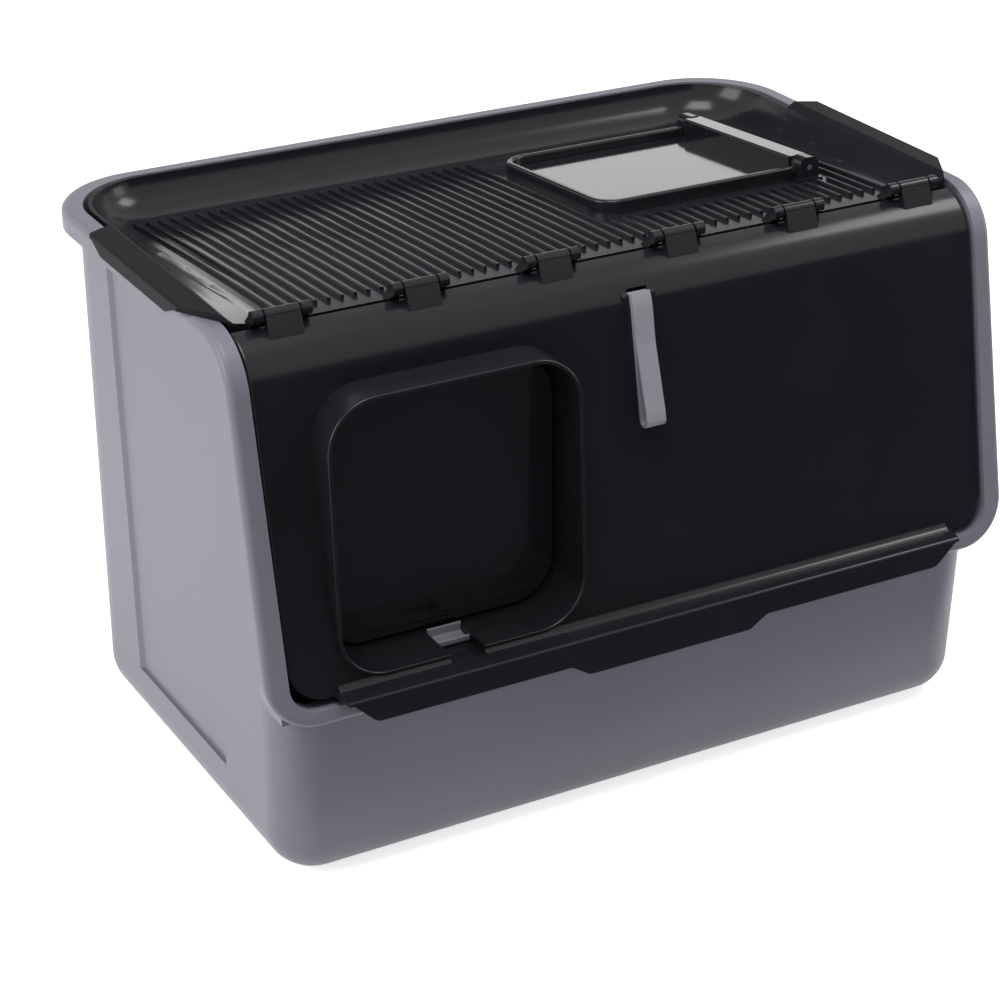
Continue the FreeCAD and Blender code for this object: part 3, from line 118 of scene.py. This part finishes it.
def drawn_steel():
    """Drawn steel wire: bright metal whose gloss is broken by a fine grain, drawn coarser than it is."""
    material, tree = new_material("drawn_steel_wire")
    place = add(tree, "TexCoord").outputs["Object"]
    lines = add(tree, "TexNoise", {"Vector": place}, {"Scale": per_mm(0.6), "Detail": 2.0})
    gloss = add(tree, "MapRange", {"Value": lines.outputs["Fac"]}, {"To Min": 0.22, "To Max": 0.4})
    shader = add(tree, "BsdfPrincipled", {"Roughness": gloss.outputs["Result"]},
                 {"Base Color": linear("#B4B4B8"), "Metallic": 1.0})
    add(tree, "OutputMaterial", {"Surface": shader.outputs["BSDF"]})
    return material


# Polypropylene from a sand-blasted mould: satin grey with a cool tint and a broad soft sheen.
# The real grain is near 0.2 mm and is drawn coarser here, as in the other plastics, so that it shows.
TUB_GREY = moulded(
    "moulded_polypropylene_grey", ("#72707B", "#767480", "#94929C"), (0.36, 0.44), 0.35,
    grain_mm=(0.9, 0.012), waves_mm=(160, 0.25), drift_mm=120, wear=0.25)
# Polypropylene from a polished mould: near-black, clear reflections bent a little by sink marks
COVER_BLACK = moulded(
    "polished_polypropylene_black", ("#1A1A1E", "#1D1D22", "#3A3A3F"), (0.16, 0.22), 0.28,
    grain_mm=(1.4, 0.003), waves_mm=(60, 0.05), drift_mm=70, wear=0.35)
# The same polypropylene where the mould was blasted, on the lifting grips: matt, with little sheen
GRIP_BLACK = moulded(
    "blasted_polypropylene_black", ("#161619", "#19191D", "#3A3A3F"), (0.55, 0.65), 0.1,
    grain_mm=(0.9, 0.01), waves_mm=(60, 0.05), drift_mm=70, wear=0.35)
# Smoked sheet of the flap and the hatch door: near-black, very smooth and flat
SMOKED_SHEET = moulded(
    "smoked_polished_sheet", ("#1A1A1F", "#1D1D22", "#3A3A3F"), (0.07, 0.11), 0.4,
    grain_mm=(2.0, 0.0015), waves_mm=(110, 0.03), drift_mm=80, wear=0.35)
# Polypropylene from a fine-blasted mould: light grey, even and satin
LATCH_GREY = moulded(
    "moulded_trim_grey", ("#85838D", "#8A8892", "#A5A3AD"), (0.38, 0.46), 0.4,
    grain_mm=(0.7, 0.012), waves_mm=(30, 0.05), drift_mm=40)
# Thermoplastic rubber: matt, with a fine skin
STRAP_RUBBER = moulded(
    "soft_rubber_grey", ("#8A8892", "#908E98", "#A5A3AD"), (0.5, 0.6), 0.35,
    grain_mm=(0.7, 0.02), waves_mm=(20, 0.05), drift_mm=30)
PIN_STEEL = drawn_steel()

FINISHES = {
    "tub_plastic": TUB_GREY,
    "cover_plastic": COVER_BLACK,
    "flap_plastic": SMOKED_SHEET,
    "trim_plastic": LATCH_GREY,
    "strap_rubber": STRAP_RUBBER,
    "pin_steel": PIN_STEEL,
}


def dress_nodes():
    """Give each CAD node its finish, with smooth shading across its rounded edges."""
    slots = {part["node"]: part["material_slot"] for part in frame["record"]["subparts"]}
    for name, node in NODES.items():
        node.data.materials.clear()
        node.data.materials.append(FINISHES[slots[name]])
        node.data.shade_smooth()
        smooth = node.modifiers.new("smooth_by_angle", "EDGE_SPLIT")
        smooth.split_angle = SHARP_ANGLE


def blast_grips():
    """Give the outer ends of the top cover, which are its lifting grips, their matt finish."""
    cover = NODES["top_cover"].data
    cover.materials.append(GRIP_BLACK)
    for face in cover.polygons:
        if abs(face.center.x) > GRIP_START:
            face.material_index = 1


dress_nodes()
blast_grips()


# Cards seen only in reflections, painted dark reflections of the surroundings: name, middle and size in
# metres, and lean in degrees from level
PAINTED_REFLECTION_CARDS = (
    ("card_floor", (0.75, -1.88, 2 * MM), (3.4, 3.3), 0),
    ("card_front", (1.2, -3.6, 0.8), (5.0, 1.6), 90),
    ("card_back", (1.2, 2.25, 1.87), (4.0, 1.7), 90),
)
# Soft boxes: name, place, target and size in metres, and power in watts
LAMPS = (
    ("key_left", (-2.3, 0.1, 1.2), (-0.2, 0.0, 0.2), (1.4, 1.4), 36),
    ("back_wall", (1.2, 2.1, 0.7), (0.1, 0.0, 0.38), (2.6, 0.5), 3.5),
    ("top_right", (1.55, -0.4, 1.8), (0.2, -0.1, 0.35), (0.7, 0.8), 14),
    ("top_front", (-0.35, -0.5, 2.4), (0.0, -0.1, 0.3), (1.1, 1.1), 30),
    ("front_right", (2.2, -1.0, 0.8), (0.2, -0.1, 0.2), (0.8, 1.2), 9),
)
# Camera that matches the photo: place in metres, turns in degrees, lens and sensor width in millimetres
CAMERA_PLACE = (-0.8974, -1.6250, 1.0498)
CAMERA_TURNS = (64.31, 0.0, -29.57)
CAMERA_LENS = 99.6
CAMERA_SENSOR = 36.0
CAMERA_SHIFT = -0.06


def stage_plane(name, middle, size, material, lean=0.0):
    """Rectangle of the stage, which is no part of the object: level, or leaning back by an angle."""
    half_x, half_y = size[0] / 2, size[1] / 2
    mesh = bpy.data.meshes.new(name)
    corners = [(-half_x, -half_y, 0), (half_x, -half_y, 0), (half_x, half_y, 0), (-half_x, half_y, 0)]
    mesh.from_pydata(corners, [], [(0, 1, 2, 3)])
    mesh.materials.append(material)
    plane = bpy.data.objects.new(name, mesh)
    plane.location = middle
    plane.rotation_euler = (lean, 0, 0)
    scene.collection.objects.link(plane)
    return plane


def seen_ray(tree):
    """1 for rays of the camera, of mirrors and of clear sheets, and 0 for light that falls on things."""
    path = add(tree, "LightPath")
    seen = add(tree, "Math", {0: path.outputs["Is Camera Ray"], 1: path.outputs["Is Glossy Ray"]},
               operation="MAXIMUM")
    return add(tree, "Math", {0: seen.outputs["Value"], 1: path.outputs["Is Transmission Ray"]},
               operation="MAXIMUM").outputs["Value"]


def paper_floor():
    """White paper that shows as white and keeps the object's shadow."""
    material, tree = new_material("white_paper")
    fibres = add(tree, "TexNoise", inputs={"Scale": per_mm(4), "Detail": 3.0})
    tone = add(tree, "MapRange", {"Value": fibres.outputs["Fac"]}, {"To Min": 0.86, "To Max": 0.9})
    paper = add(tree, "BsdfDiffuse", {"Color": tone.outputs["Result"]})
    strength = add(tree, "MapRange", {"Value": seen_ray(tree)}, {"To Max": PAPER_GLOW})
    glow = add(tree, "Emission", {"Strength": strength.outputs["Result"]}, {"Color": linear(WHITE)})
    both = add(tree, "AddShader", {0: paper.outputs["BSDF"], 1: glow.outputs["Emission"]})
    add(tree, "OutputMaterial", {"Surface": both.outputs["Shader"]})
    stage_plane("studio_floor", (0, 0, -0.5 * MM), (24, 24), material)


def painted_dark_reflections():
    """Painted dark reflections: cards around the object that only show in reflections, and keep the black
    covers deep.
    """
    material, tree = new_material("painted_dark_reflection")
    # Painted dark reflection: this grey shows only in mirrored rays, in place of dark surroundings
    diffuse = add(tree, "BsdfDiffuse", inputs={"Color": linear("#57575D")})
    add(tree, "OutputMaterial", {"Surface": diffuse.outputs["BSDF"]})
    for name, middle, size, lean in PAINTED_REFLECTION_CARDS:
        card = stage_plane(name, middle, size, material, math.radians(lean))
        card.visible_camera = False
        card.visible_diffuse = False
        card.visible_transmission = False
        card.visible_shadow = False


def studio_world():
    """White surroundings for the camera and for reflections, and a dimmer fill for the rest."""
    world = bpy.data.worlds.new("studio")
    world.use_nodes = True
    tree = world.node_tree
    tree.nodes.clear()
    strength = add(tree, "MapRange", {"Value": seen_ray(tree)},
                   {"To Min": FILL_STRENGTH, "To Max": SEEN_STRENGTH})
    background = add(tree, "Background", {"Strength": strength.outputs["Result"]}, {"Color": linear(WHITE)})
    add(tree, "OutputWorld", {"Surface": background.outputs["Background"]})
    scene.world = world


def soft_box(name, place, target, size, power):
    """Soft rectangular studio lamp aimed at a target."""
    light = bpy.data.lights.new(name, "AREA")
    light.shape = "RECTANGLE"
    light.size, light.size_y = size
    light.energy = power
    lamp = bpy.data.objects.new(name, light)
    lamp.location = place
    lamp.rotation_euler = (Vector(target) - Vector(place)).to_track_quat("-Z", "Y").to_euler()
    scene.collection.objects.link(lamp)


def photo_camera():
    """Camera fitted to the photo: where it stands, how it turns and its lens."""
    lens = bpy.data.cameras.new("photo_camera")
    lens.sensor_width = CAMERA_SENSOR
    lens.lens = CAMERA_LENS
    lens.shift_x = CAMERA_SHIFT
    lens.clip_end = 60.0
    camera = bpy.data.objects.new("photo_camera", lens)
    camera.location = CAMERA_PLACE
    camera.rotation_euler = [math.radians(angle) for angle in CAMERA_TURNS]
    scene.collection.objects.link(camera)
    scene.camera = camera


paper_floor()
painted_dark_reflections()
studio_world()
photo_camera()
for lamp_name, place, target, size, power in LAMPS:
    soft_box(lamp_name, place, target, size, power)
scene.view_settings.view_transform = "Standard"
